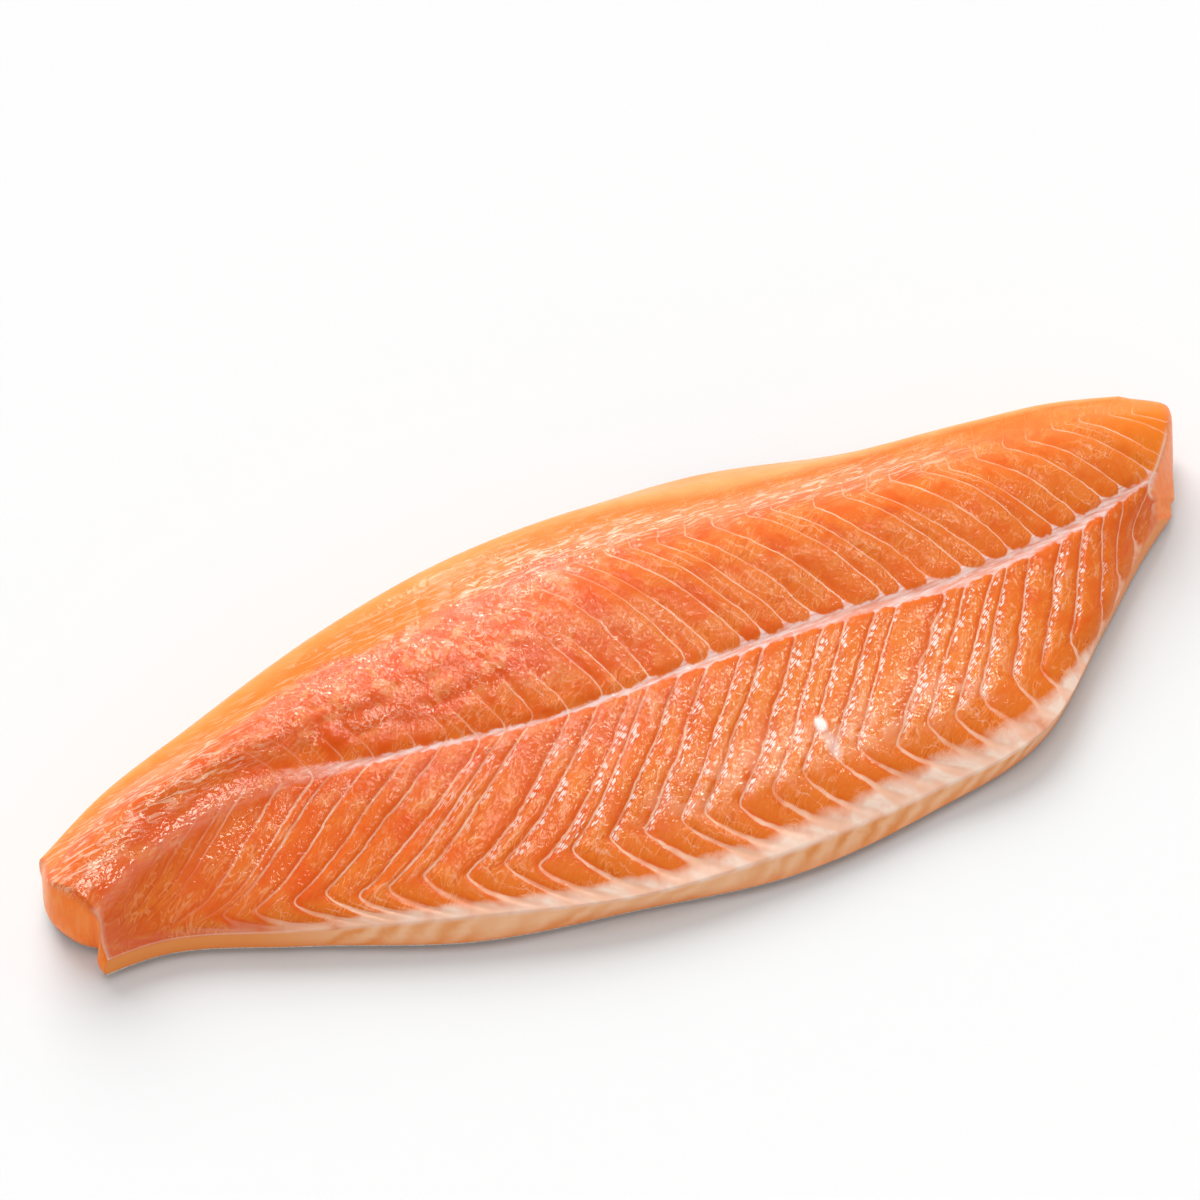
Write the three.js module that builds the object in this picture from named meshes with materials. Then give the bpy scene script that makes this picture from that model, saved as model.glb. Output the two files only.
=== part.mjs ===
// A raw lake trout fillet that lies on its skin, with the cut flesh up.
//
// x runs along the fish from the tail end (-x) to the head end (+x), y across it from the belly edge
// (-y) to the back edge (+y), and z up from the surface that it lies on. The origin is under the middle
// of the fillet. Lengths are in millimetres.
//
// The flesh is one solid. Its top is the inner face of the side of the fish: a row of muscle blocks that
// meet in thin pale sheets, bent into a W across the fillet, with a pale seam along the middle.
// The skin is a second, thin solid under it.
import * as THREE from "three";

// Driving dimensions.
const BLOCK_LENGTH = 8.2; // one muscle block, measured along the fish
const SHEET_DEPTH = 0.9; // how far the sheets between the blocks lie below the blocks' middles
const SEAM_DEPTH = 0.7; // the seam's groove, along the body
const SEAM_RIDGE = 0.9; // the seam's raised cord, towards the tail
const SKIN_THICKNESS = 1.3;
const LAYER_GAP = 0.35; // between the skin and the flesh
const SKIN_INSET = 0.8; // the skin's edge lies this far in from the foot of the flesh
const SKIN_LIP = 0.8; // and this far out past it at the thin lip of the back
const CURL_WIDTH = 25; // width of the margin over which the underside rises to its edge
const BELLY_RISE = 0.8; // the underside's height at the belly edge and at both ends

// The places along the fillet, from tail to head, at which its long lines are given.
const PLACES = [-170, -150, -120, -80, -40, 0, 40, 80, 115, 140, 165];

// The long lines, as seen from above: each is a distance across the fillet from the middle line.
const backEdge = along([21.5, 32.8, 43.3, 55.3, 61.8, 64.8, 62, 50, 40.2, 35.6, 27.5]);
const seamLine = along([-6.5, 4.5, 11.8, 4.3, -4.3, -6.6, -8.4, -12.6, -10.8, -6, -2]);
const kneeLine = along([-7, -9.2, -17.8, -30, -41, -43.8, -45.3, -44, -31, -12.5, -1.5]);
const bellyLine = along([-9.2, -10.6, -24, -41.2, -55.2, -60.4, -61, -58, -34, -16, -1.5]);
const bellyFoot = along([-10, -11.8, -25, -44.6, -54.8, -64.2, -63.8, -57, -34, -17, -3]);

// The heights of the same lines, and of the thickest line, which runs between the seam and the back.
const backHeight = along([16.5, 18, 20, 22, 23.5, 22, 21, 20.5, 20.5, 19.5, 17]);
const humpHeight = along([20, 22.5, 25, 28, 30, 30, 29, 27.5, 26, 24.5, 21]);
const seamHeight = along([17, 18, 20, 22, 23, 23, 22, 21, 20, 19, 17]);
const kneeHeight = along([11.5, 10, 11.5, 13, 14, 14, 14, 14, 12.5, 12, 12]);
const bellyHeight = along([7, 7, 8, 9.5, 9, 8.5, 7.5, 9, 8, 8.5, 10.5]);

// The shoulder is how far in from the back edge the flat top stops. The back edge rises off the surface.
const shoulder = along([3, 6, 10, 12, 12, 12.5, 18, 12, 7, 6, 4]);
const backRise = along([2, 2.5, 3, 3, 3, 4.5, 6, 5.5, 4, 3, 2.5]);
const backRoundness = along([1, 1, 1, 1, 1, 0.6, 0.2, 0.3, 0.9, 1, 1]);

// How far each sheet runs towards the tail between its lines: from the seam down to the knee, from the
// knee out to the belly edge (towards the head there), and from the seam up to the elbow of the back.
const kneeSweep = along([-40, -42, -44, -44, -44, -41, -36, -33, -32, -32, -32]);
const bellySweep = along([8, 9, 10, 12, 13, 14, 14, 13, 12, 10, 8]);
const elbowSweep = along([-10, -12, -14, -15, -17, -19, -20, -19, -18, -17, -16]);
const BACK_SWEEP = 8;

// A place across the top is a number from 0 at the belly edge to 1 at the shoulder of the back.
const KNEE = 0.22;
const SEAM = 0.5;
const HUMP = 0.74;
const HUMP_SHARE = 0.52; // how far over from the seam to the shoulder the thickest line lies
const ELBOW = 0.82;
const ROWS = [
  0, 0.06, 0.12, 0.17, KNEE, 0.28, 0.34, 0.4, 0.46, SEAM, 0.54, 0.6, 0.67, HUMP, ELBOW, 0.88, 0.94, 1,
];

// Where the top stops at each end, and how far the cut faces below it stand out past it, by row.
const END_ROWS = [0, 0.3, SEAM, 0.56, 0.65, 0.8, 1];
const tailEnd = curve(END_ROWS, [-164, -163.8, -162.8, -163.6, -165.4, -169.4, -168.2]);
const tailStandOut = curve(END_ROWS, [1.8, 2.4, 2.2, 4.2, 5.2, 3, 1.5]);
const headEnd = curve(END_ROWS, [145.5, 146.5, 147.5, 152.5, 159.5, 163.2, 156]);
const headStandOut = curve(END_ROWS, [9, 10.8, 12.8, 10.2, 7, 7, 5.5]);
const headRoundness = curve(END_ROWS, [0, 0, 0, 0.1, 0.6, 1, 1]);
const TAIL_ROUNDNESS = 0.35;
const BELLY_ROUNDNESS = 0.1;
const HEAD_CORNER = 28; // length of the corners over which the long sides turn into the head end
const TAIL_CORNER = 14;

// The side walls have four rings under the top's rim. Each gives how far out it lies, as a share of the
// wall's stand-out, and its height as a share of the wall, for a flat cut face and for a round edge.
const CUT_FACE = [[0.33, 0.74], [0.68, 0.42], [1, 0.13], [0.93, 0]];
const ROUND_EDGE = [[0.58, 0.89], [0.9, 0.63], [1, 0.36], [0.84, 0]];

// A smooth curve through given values: cubic between them, with the slope at each one worked out from
// its neighbours, and straight past both ends.
function curve(places, values) {
  const last = places.length - 1;
  const rise = (i) => (values[i + 1] - values[i]) / (places[i + 1] - places[i]);
  const slopes = values.map((_, i) => {
    if (i === 0) return rise(0);
    if (i === last) return rise(last - 1);
    const before = places[i] - places[i - 1];
    const after = places[i + 1] - places[i];
    return (rise(i - 1) * after + rise(i) * before) / (before + after);
  });
  return (place) => {
    if (place <= places[0]) return values[0] + slopes[0] * (place - places[0]);
    if (place >= places[last]) return values[last] + slopes[last] * (place - places[last]);
    let i = 0;
    while (place > places[i + 1]) i += 1;
    const width = places[i + 1] - places[i];
    const t = (place - places[i]) / width;
    return (
      values[i] * (1 + 2 * t) * (1 - t) ** 2 +
      slopes[i] * width * t * (1 - t) ** 2 +
      values[i + 1] * (3 - 2 * t) * t ** 2 +
      slopes[i + 1] * width * (t - 1) * t ** 2
    );
  };
}

function along(values) {
  return curve(PLACES, values);
}

const clamp = THREE.MathUtils.clamp;
const mix = THREE.MathUtils.lerp;

// A point of the smooth top, at x along the fillet and at a row across it.
function topPoint(x, row) {
  const shoulderLine = backEdge(x) - shoulder(x);
  const across = [0, KNEE, SEAM, HUMP, 1];
  const humpLine = mix(seamLine(x), shoulderLine, HUMP_SHARE);
  const y = [bellyLine(x), kneeLine(x), seamLine(x), humpLine, shoulderLine];
  const z = [bellyHeight(x), kneeHeight(x), seamHeight(x), humpHeight(x), backHeight(x)];
  return new THREE.Vector3(x, curve(across, y)(row), curve(across, z)(row));
}

// How far along the fish the sheet that crosses the seam at a place has moved when it reaches a row.
function sweep(place, row) {
  const toKnee = clamp((SEAM - row) / (SEAM - KNEE), 0, 1);
  const toBelly = clamp((KNEE - row) / KNEE, 0, 1);
  const toElbow = clamp((row - SEAM) / (ELBOW - SEAM), 0, 1);
  const toBack = clamp((row - ELBOW) / (1 - ELBOW), 0, 1);
  const towardsBelly = kneeSweep(place) * toKnee + bellySweep(place) * toBelly;
  const towardsBack = elbowSweep(place) * toElbow + BACK_SWEEP * toBack;
  return towardsBelly + towardsBack;
}

// The vertices and triangles of one closed solid, put together from rings and the strips between them.
class Shell {
  points = [];
  triangles = [];

  add(point) {
    this.points.push(point);
    return this.points.length - 1;
  }

  ring(points) {
    return points.map((point) => this.add(point));
  }

  triangle(a, b, c) {
    if (a !== b && b !== c && c !== a) this.triangles.push(a, b, c);
  }

  // Corners in turn, seen from outside. The shorter diagonal splits it.
  quad(a, b, c, d) {
    const length = (i, j) => this.points[i].distanceTo(this.points[j]);
    if (length(a, c) <= length(b, d)) {
      this.triangle(a, b, c);
      this.triangle(a, c, d);
    } else {
      this.triangle(a, b, d);
      this.triangle(b, c, d);
    }
  }

  // Two rings that run anticlockwise as seen from above. Outside is the side that the first ring's
  // points turn towards when they go down to the second.
  strip(from, to) {
    from.forEach((_, i) => {
      const next = (i + 1) % from.length;
      this.quad(from[i], to[i], to[next], from[next]);
    });
  }

  // A flat lid inside a ring, facing up or down.
  lid(ring, facesUp) {
    const outline = ring.map((i) => new THREE.Vector2(this.points[i].x, this.points[i].y));
    for (const [a, b, c] of THREE.ShapeUtils.triangulateShape(outline, [])) {
      if (facesUp) this.triangle(ring[a], ring[b], ring[c]);
      else this.triangle(ring[a], ring[c], ring[b]);
    }
  }

  geometry() {
    return new THREE.BufferGeometry().setFromPoints(this.points).setIndex(this.triangles);
  }
}

// The top of the flesh: a grid whose columns follow the sheets, two to a muscle block, with every other
// column sunk where the sheet lies. A column that would pass an end stops at it.
const COLUMN_STEP = BLOCK_LENGTH / 2;
const FIRST_COLUMN = Math.floor(tailEnd(SEAM) / COLUMN_STEP);
const LAST_COLUMN = Math.ceil((headEnd(KNEE) - kneeSweep(PLACES.at(-1))) / COLUMN_STEP);
const RELIEF_FADE = 12; // the relief dies out over this distance from the ends
const EDGE_RELIEF = 0.3; // the share of it that is left at the belly edge and the shoulder
const RIDGE_END = -120; // the seam is a raised cord up to here, and over the next stretch sinks to a groove
const RIDGE_FADE = 40;

function topGrid(shell) {
  const rows = ROWS.map((row) => {
    const start = tailEnd(row);
    const stop = headEnd(row);
    const tailCorner = shell.add(topPoint(start, row));
    const headCorner = shell.add(topPoint(stop, row));
    const indices = [];
    for (let column = FIRST_COLUMN; column <= LAST_COLUMN; column += 1) {
      const place = column * COLUMN_STEP;
      const x = place + sweep(place, row);
      if (x < start + COLUMN_STEP / 4) {
        indices.push(tailCorner);
      } else if (x > stop - COLUMN_STEP / 4) {
        indices.push(headCorner);
      } else {
        const point = topPoint(x, row);
        point.z += relief(column, x, row, Math.min(x - start, stop - x));
        indices.push(shell.add(point));
      }
    }
    return [tailCorner, ...indices, headCorner];
  });
  for (let r = 0; r + 1 < rows.length; r += 1) {
    for (let c = 0; c + 1 < rows[r].length; c += 1) {
      shell.quad(rows[r][c], rows[r][c + 1], rows[r + 1][c + 1], rows[r + 1][c]);
    }
  }
  return rows;
}

function relief(column, x, row, fromEnd) {
  const fade = clamp(fromEnd / RELIEF_FADE, 0, 1);
  if (row === SEAM) return mix(SEAM_RIDGE, -SEAM_DEPTH, clamp((x - RIDGE_END) / RIDGE_FADE, 0, 1)) * fade;
  const edgeFade = clamp(Math.min(row, 1 - row) / KNEE + EDGE_RELIEF, 0, 1);
  return (column % 2 === 0 ? -SHEET_DEPTH / 2 : SHEET_DEPTH / 2) * fade * edgeFade;
}

// The rim of the top, anticlockwise from above: along the belly, up the head end, along the back and
// down the tail end. Each point of it knows where its wall stands out to, how round the wall is, how
// high its foot lies, and how far the skin shows past the foot.
function rimOf(shell, rows) {
  const sideEntry = (row, edge) => (index) => {
    const top = shell.points[index];
    const outX = top.x + cornerStandOut(top.x, row);
    return { index, top, row, out: new THREE.Vector2(outX, edge(outX)) };
  };
  const endEntry = (end, standOut) => (index, row) => {
    const [low, high] = [topPoint(end(0), 0).y, topPoint(end(1), 1).y];
    const [lowOut, highOut] = [bellyFoot(end(0) + standOut(0)), backEdge(end(1) + standOut(1))];
    const top = shell.points[index];
    const outY = mix(lowOut, highOut, (top.y - low) / (high - low));
    return { index, top, row, out: new THREE.Vector2(top.x + standOut(row), outY) };
  };
  const tailOut = (row) => -tailStandOut(row);
  const inner = rows.slice(1, -1);
  const belly = unique(rows[0]).map(sideEntry(0, bellyFoot));
  const head = inner.map((indices, i) => endEntry(headEnd, headStandOut)(indices.at(-1), ROWS[i + 1]));
  const back = unique(rows.at(-1)).reverse().map(sideEntry(1, backEdge));
  const tail = inner.map((indices, i) => endEntry(tailEnd, tailOut)(indices[0], ROWS[i + 1])).reverse();
  return [
    ...belly.map((entry) => finish(entry, BELLY_ROUNDNESS, BELLY_RISE)),
    ...head.map((entry) => finish(entry, headRoundness(entry.row), endFoot(headEnd, entry.row))),
    ...back.map((entry) => finish(entry, backRoundness(entry.top.x), backRise(entry.top.x))),
    ...tail.map((entry) => finish(entry, TAIL_ROUNDNESS, endFoot(tailEnd, entry.row))),
  ];
}

function unique(indices) {
  return indices.filter((index, i) => index !== indices[i - 1]);
}

// At a long side a wall stands out along the fish only near the corners.
function cornerStandOut(x, row) {
  const nearHead = clamp((x - headEnd(row)) / HEAD_CORNER + 1, 0, 1);
  const nearTail = clamp((tailEnd(row) - x) / TAIL_CORNER + 1, 0, 1);
  return headStandOut(row) * nearHead ** 2 - tailStandOut(row) * nearTail ** 2;
}

function endFoot(end, row) {
  return mix(BELLY_RISE, backRise(end(1)), row);
}

// The skin shows past the flesh only where the back edge is less round, and thins out into a lip.
function finish(entry, round, foot) {
  const skinOut = entry.row === 1 ? mix(SKIN_LIP, -SKIN_INSET, clamp(round, 0, 1)) : -SKIN_INSET;
  return { ...entry, round, foot, skinOut };
}

// The underside: flat in the middle, and rising in a smooth curve over its margin to the foot of the
// wall. The same rings serve the flesh and the skin, one above the other. They lie between the rim and
// a middle line that stops short of both ends.
const CURL_RINGS = [0, 0.3, 0.62, 1];
const CURL_REACH = 0.6; // no ring goes further in than this share of the way to the middle line
const MIDDLE_START = -145;
const MIDDLE_STOP = 135;

function undersidePoint(entry, share, outset) {
  const reach = mix(CUT_FACE.at(-1)[0], ROUND_EDGE.at(-1)[0], entry.round);
  const edge = new THREE.Vector2(entry.top.x, entry.top.y).lerp(entry.out, reach);
  const middleX = clamp(edge.x, MIDDLE_START, MIDDLE_STOP);
  const middle = new THREE.Vector2(middleX, (backEdge(middleX) + bellyFoot(middleX)) / 2);
  const inward = middle.clone().sub(edge);
  const room = Math.min(CURL_WIDTH, inward.length() * CURL_REACH);
  edge.addScaledVector(inward.normalize(), room * share - outset);
  return new THREE.Vector3(edge.x, edge.y, entry.foot * (1 - share) ** 2);
}

function fleshSolid() {
  const shell = new Shell();
  const rows = topGrid(shell);
  const rim = rimOf(shell, rows);
  const rings = [rim.map((entry) => entry.index)];
  const underside = SKIN_THICKNESS + LAYER_GAP;
  for (let k = 0; k + 1 < CUT_FACE.length; k += 1) {
    const wallPoint = ({ top, out, round, foot }) => {
      const outShare = mix(CUT_FACE[k][0], ROUND_EDGE[k][0], round);
      const heightShare = mix(CUT_FACE[k][1], ROUND_EDGE[k][1], round);
      const z = mix(foot + underside, top.z, heightShare);
      return new THREE.Vector3(mix(top.x, out.x, outShare), mix(top.y, out.y, outShare), z);
    };
    rings.push(shell.ring(rim.map(wallPoint)));
  }
  for (const share of CURL_RINGS) {
    const points = rim.map((entry) => undersidePoint(entry, share, 0));
    for (const point of points) point.z += underside;
    rings.push(shell.ring(points));
  }
  for (let k = 0; k + 1 < rings.length; k += 1) shell.strip(rings[k], rings[k + 1]);
  shell.lid(rings.at(-1), false);
  return { geometry: shell.geometry(), rim };
}

function skinSolid(rim) {
  const shell = new Shell();
  const layer = (height) => (share) => {
    const points = rim.map((entry) => undersidePoint(entry, share, entry.skinOut * (1 - share)));
    for (const point of points) point.z += height;
    return shell.ring(points);
  };
  const upper = [...CURL_RINGS].reverse().map(layer(SKIN_THICKNESS));
  const lower = CURL_RINGS.map(layer(0));
  const rings = [...upper, ...lower];
  shell.lid(rings[0], true);
  for (let k = 0; k + 1 < rings.length; k += 1) shell.strip(rings[k], rings[k + 1]);
  shell.lid(rings.at(-1), false);
  return shell.geometry();
}

const rawFlesh = new THREE.MeshStandardMaterial({ color: 0xec7a45, roughness: 0.3, metalness: 0 });
const wetSkin = new THREE.MeshStandardMaterial({ color: 0x77746c, roughness: 0.35, metalness: 0 });

const fillet = new THREE.Group();
const { geometry, rim } = fleshSolid();
const flesh = new THREE.Mesh(geometry, rawFlesh);
flesh.name = "flesh";
const skin = new THREE.Mesh(skinSolid(rim), wetSkin);
skin.name = "skin";
fillet.add(flesh, skin);

// The origin goes under the middle of the fillet's box.
const box = new THREE.Box3().setFromObject(fillet);
fillet.position.set(-(box.min.x + box.max.x) / 2, -(box.min.y + box.max.y) / 2, -box.min.z);

export default fillet;
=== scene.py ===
# A raw lake trout fillet on a white table: the flesh, which is up, and the skin that it lies on.
import math

import bpy
import numpy as np
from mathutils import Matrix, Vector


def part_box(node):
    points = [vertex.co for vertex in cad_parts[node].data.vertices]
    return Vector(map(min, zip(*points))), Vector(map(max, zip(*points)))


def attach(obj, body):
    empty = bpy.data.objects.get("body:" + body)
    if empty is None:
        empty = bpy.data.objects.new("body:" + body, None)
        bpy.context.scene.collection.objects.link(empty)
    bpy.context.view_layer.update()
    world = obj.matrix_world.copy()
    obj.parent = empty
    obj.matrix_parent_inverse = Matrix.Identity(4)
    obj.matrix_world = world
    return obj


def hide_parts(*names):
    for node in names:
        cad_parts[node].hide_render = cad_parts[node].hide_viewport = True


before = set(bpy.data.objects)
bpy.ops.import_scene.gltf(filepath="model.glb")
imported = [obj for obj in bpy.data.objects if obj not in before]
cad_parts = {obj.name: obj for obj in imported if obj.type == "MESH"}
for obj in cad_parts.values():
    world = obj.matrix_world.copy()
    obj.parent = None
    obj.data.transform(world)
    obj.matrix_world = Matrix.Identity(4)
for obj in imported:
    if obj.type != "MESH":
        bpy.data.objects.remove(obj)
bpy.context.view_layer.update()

# ------------------------------------------------------------------------------------------
# The flesh. One soft piece of muscle, built of blocks that meet in thin pale sheets of tissue,
# which show as chevrons. The top is drawn over long lines from tail to head, and the cut sides
# hang from its rim. Lengths are in millimetres.

BLOCK_LENGTH = 8.2
UNDERSIDE = 1.65  # the skin and the gap over it
BELLY_RISE = 0.8
CURL_WIDTH = 25
KNEE, SEAM, HUMP, ELBOW = 0.22, 0.5, 0.74, 0.82
PLACES = [-170, -150, -120, -80, -40, 0, 40, 80, 115, 140, 165]
END_ROWS = [0, 0.3, SEAM, 0.56, 0.65, 0.8, 1]


def curve(places, values):
    """A smooth curve through given values, straight past both ends."""
    places = np.array(places, float)
    values = np.array(values, float)
    widths = np.diff(places)
    shaped = widths.reshape(-1, *[1] * (values.ndim - 1))
    rises = np.diff(values, axis=0) / shaped
    slopes = np.concatenate([rises[:1], rises])
    slopes[-1] = rises[-1]
    slopes[1:-1] = (rises[:-1] * shaped[1:] + rises[1:] * shaped[:-1]) / (shaped[:-1] + shaped[1:])

    def at(place):
        inside = np.clip(place, places[0], places[-1])
        i = np.clip(np.searchsorted(places, inside, side="right") - 1, 0, len(widths) - 1)
        t = (inside - places[i]) / widths[i]
        start = values[i] * (1 + 2 * t) * (1 - t) ** 2 + slopes[i] * widths[i] * t * (1 - t) ** 2
        stop = values[i + 1] * (3 - 2 * t) * t**2 + slopes[i + 1] * widths[i] * (t - 1) * t**2
        past = place - inside
        return start + stop + np.where(past < 0, slopes[0], slopes[-1]) * past

    return at


def mix(a, b, share):
    return a + (b - a) * share


def smooth(low, high, value):
    share = np.clip((value - low) / (high - low), 0, 1)
    return share * share * (3 - 2 * share)


back_edge = curve(PLACES, [21.5, 32.8, 43.3, 55.3, 61.8, 64.8, 62, 50, 40.2, 35.6, 27.5])
seam_line = curve(PLACES, [-6.5, 4.5, 11.8, 4.3, -4.3, -6.6, -8.4, -12.6, -10.8, -6, -2])
knee_line = curve(PLACES, [-7, -9.2, -17.8, -30, -41, -43.8, -45.3, -44, -31, -12.5, -1.5])
belly_line = curve(PLACES, [-9.2, -10.6, -24, -41.2, -55.2, -60.4, -61, -58, -34, -16, -1.5])
belly_foot = curve(PLACES, [-10, -11.8, -25, -44.6, -54.8, -64.2, -63.8, -57, -34, -17, -3])
back_height = curve(PLACES, [16.5, 18, 20, 22, 23.5, 22, 21, 20.5, 20.5, 19.5, 17])
hump_height = curve(PLACES, [20, 22.5, 25, 28, 30, 30, 29, 27.5, 26, 24.5, 21])
seam_height = curve(PLACES, [17, 18, 20, 22, 23, 23, 22, 21, 20, 19, 17])
knee_height = curve(PLACES, [11.5, 10, 11.5, 13, 14, 14, 14, 14, 12.5, 12, 12])
belly_height = curve(PLACES, [7, 7, 8, 9.5, 9, 8.5, 7.5, 9, 8, 8.5, 10.5])
shoulder = curve(PLACES, [3, 6, 10, 12, 12, 12.5, 18, 12, 7, 6, 4])
back_rise = curve(PLACES, [2, 2.5, 3, 3, 3, 4.5, 6, 5.5, 4, 3, 2.5])
back_roundness = curve(PLACES, [1, 1, 1, 1, 1, 0.6, 0.2, 0.3, 0.9, 1, 1])
knee_sweep = curve(PLACES, [-40, -42, -44, -44, -44, -41, -36, -33, -26, -13, -5])
belly_sweep = curve(PLACES, [8, 9, 10, 12, 13, 14, 14, 12, 2, -4, -4])
elbow_sweep = curve(PLACES, [-10, -12, -14, -15, -17, -19, -20, -19, -18, -17, -16])
tail_end = curve(END_ROWS, [-164, -163.8, -162.8, -163.6, -165.4, -169.4, -168.2])
tail_stand_out = curve(END_ROWS, [1.8, 2.4, 2.2, 4.2, 5.2, 3, 1.5])
head_end = curve(END_ROWS, [145.5, 146.5, 147.5, 152.5, 159.5, 163.2, 156])
head_stand_out = curve(END_ROWS, [9, 10.8, 12.8, 10.2, 7, 7, 5.5])
head_roundness = curve(END_ROWS, [0, 0, 0, 0.1, 0.6, 1, 1])


def top_surface(x, row):
    """The smooth top at places x along one row across it: an array of points."""
    shoulder_line = back_edge(x) - shoulder(x)
    hump_line = mix(seam_line(x), shoulder_line, 0.52)
    across = [0, KNEE, SEAM, HUMP, 1]
    y = curve(across, [belly_line(x), knee_line(x), seam_line(x), hump_line, shoulder_line])(row)
    heights = [belly_height(x), knee_height(x), seam_height(x), hump_height(x), back_height(x)]
    z = curve(across, heights)(row)
    return np.stack([x, y, z], -1)


def sweep(place, row):
    """How far along the fish the sheet that crosses the seam at a place has moved at a row."""
    to_knee = np.clip((SEAM - row) / (SEAM - KNEE), 0, 1)
    to_belly = np.clip((KNEE - row) / KNEE, 0, 1) ** 1.35
    to_elbow = np.clip((row - SEAM) / (ELBOW - SEAM), 0, 1) ** 1.3
    to_back = np.clip((row - ELBOW) / (1 - ELBOW), 0, 1)
    towards_belly = knee_sweep(place) * to_knee + belly_sweep(place) * to_belly
    return towards_belly + elbow_sweep(place) * to_elbow + 8 * to_back


def soft_sweep(place, row):
    """The same with its bends rounded."""
    rounding = {-0.012: 0.25, 0: 0.5, 0.012: 0.25}
    return sum(share * sweep(place, row + off) for off, share in rounding.items())


def grain(points, size, seed):
    """Smooth random values from -1 to 1 at points, which change over a length of about size."""
    lattice = np.random.default_rng(seed).uniform(-1, 1, (64, 64, 64))
    at = points / size
    low = np.floor(at).astype(int)
    t = at - low
    t = t * t * (3 - 2 * t)
    total = np.zeros(len(points))
    for corner in np.ndindex(2, 2, 2):
        i, j, k = ((low + corner) % 64).T
        weight = np.prod(np.where(corner, t, 1 - t), axis=1)
        total += weight * lattice[i, j, k]
    return total


# The grid: its rows keep to the long lines, and its columns stand straight across.
COLUMNS = 481
row_places = np.concatenate(
    [
        np.linspace(0, KNEE, 27)[:-1],
        np.linspace(KNEE, SEAM, 45)[:-1],
        np.linspace(SEAM, ELBOW, 49)[:-1],
        np.linspace(ELBOW, 1, 22),
    ]
)
ROWS = len(row_places)
uneven_knees, uneven_blocks = np.random.default_rng(11).uniform(-1, 1, (2, 100))
top = np.empty((ROWS, COLUMNS, 3))
place = np.empty((ROWS, COLUMNS))
for r, row in enumerate(row_places):
    x = np.linspace(tail_end(row), head_end(row), COLUMNS)
    top[r] = top_surface(x, row)
    place[r] = x
    for _ in range(14):
        unevenness = np.interp(place[r] / BLOCK_LENGTH, np.arange(-40, 60), uneven_knees)
        place[r] = x - soft_sweep(place[r], row + 0.022 * unevenness * smooth(0, 0.15, row))
block = place / BLOCK_LENGTH
block += 0.17 * np.interp(block, np.arange(-40, 60), uneven_blocks)

along = np.gradient(top, axis=1)
across = np.gradient(top, axis=0)
normal = np.cross(along, across)
normal /= np.linalg.norm(normal, axis=-1, keepdims=True)

# The width of a block, measured square to its sheets.
along_length = np.linalg.norm(along, axis=-1)
along_way = along / along_length[..., None]
skew = (across * along_way).sum(-1)
square = across - along_way * skew[..., None]
square_length = np.linalg.norm(square, axis=-1)
per_along = np.gradient(block, axis=1) / along_length
per_square = (np.gradient(block, axis=0) - per_along * skew) / square_length
block_width = 1 / np.hypot(per_along, per_square)

from_seam = top[..., 1] - seam_line(top[..., 0])
x_top = top[..., 0]
row_top = np.broadcast_to(row_places[:, None], x_top.shape)

# The rim, anticlockwise from above: belly, head end, back, tail end.
rim_grid = [(0, c) for c in range(COLUMNS)]
rim_grid += [(r, COLUMNS - 1) for r in range(1, ROWS - 1)]
rim_grid += [(ROWS - 1, c) for c in reversed(range(COLUMNS))]
rim_grid += [(r, 0) for r in reversed(range(1, ROWS - 1))]
rim_row_index, rim_column_index = np.array(rim_grid).T
rim_top = top[rim_row_index, rim_column_index]
rim_row = row_places[rim_row_index]
on_belly = rim_row_index == 0
on_back = rim_row_index == ROWS - 1
on_head = ~on_belly & ~on_back & (rim_column_index > 0)
on_tail = ~on_belly & ~on_back & (rim_column_index == 0)


def corner_stand_out(x, row):
    near_head = np.clip((x - head_end(row)) / 28 + 1, 0, 1)
    near_tail = np.clip((tail_end(row) - x) / 14 + 1, 0, 1)
    return head_stand_out(row) * near_head**2 - tail_stand_out(row) * near_tail**2


def end_outline(end, stand_out):
    """Where the foot of an end's wall lies, for all rim points."""
    low = top_surface(np.array([end(0)]), 0)[0, 1]
    high = top_surface(np.array([end(1)]), 1)[0, 1]
    low_out = belly_foot(end(0) + stand_out(0))
    high_out = back_edge(end(1) + stand_out(1))
    y = mix(low_out, high_out, (rim_top[:, 1] - low) / (high - low))
    return np.stack([rim_top[:, 0] + stand_out(rim_row), y], -1)


side_x = rim_top[:, 0] + corner_stand_out(rim_top[:, 0], rim_row)
rim_out = np.stack([side_x, np.where(on_belly, belly_foot(side_x), back_edge(side_x))], -1)
rim_out[on_head] = end_outline(head_end, head_stand_out)[on_head]
rim_out[on_tail] = end_outline(tail_end, lambda row: -tail_stand_out(row))[on_tail]
# A wall is a straight cut at 0 and a round edge at 1.
BELLY_ROUNDNESS, TAIL_ROUNDNESS = 0.1, 0.35
edge_round = back_roundness(rim_top[:, 0])
rim_round = np.select(
    [on_belly, on_head, on_back],
    [BELLY_ROUNDNESS, head_roundness(rim_row), edge_round],
    TAIL_ROUNDNESS,
)
head_foot = mix(BELLY_RISE, back_rise(head_end(1)), rim_row)
tail_foot = mix(BELLY_RISE, back_rise(tail_end(1)), rim_row)
back_foot = back_rise(rim_top[:, 0])
rim_foot = np.select([on_belly, on_head, on_back], [BELLY_RISE, head_foot, back_foot], tail_foot)

WALL = [0, 0.25, 0.5, 0.75, 1]
cut_face = curve(WALL, [[0, 1], [0.33, 0.74], [0.68, 0.42], [1, 0.13], [0.93, 0]])
round_edge = curve(WALL, [[0, 1], [0.58, 0.89], [0.9, 0.63], [1, 0.36], [0.84, 0]])


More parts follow.
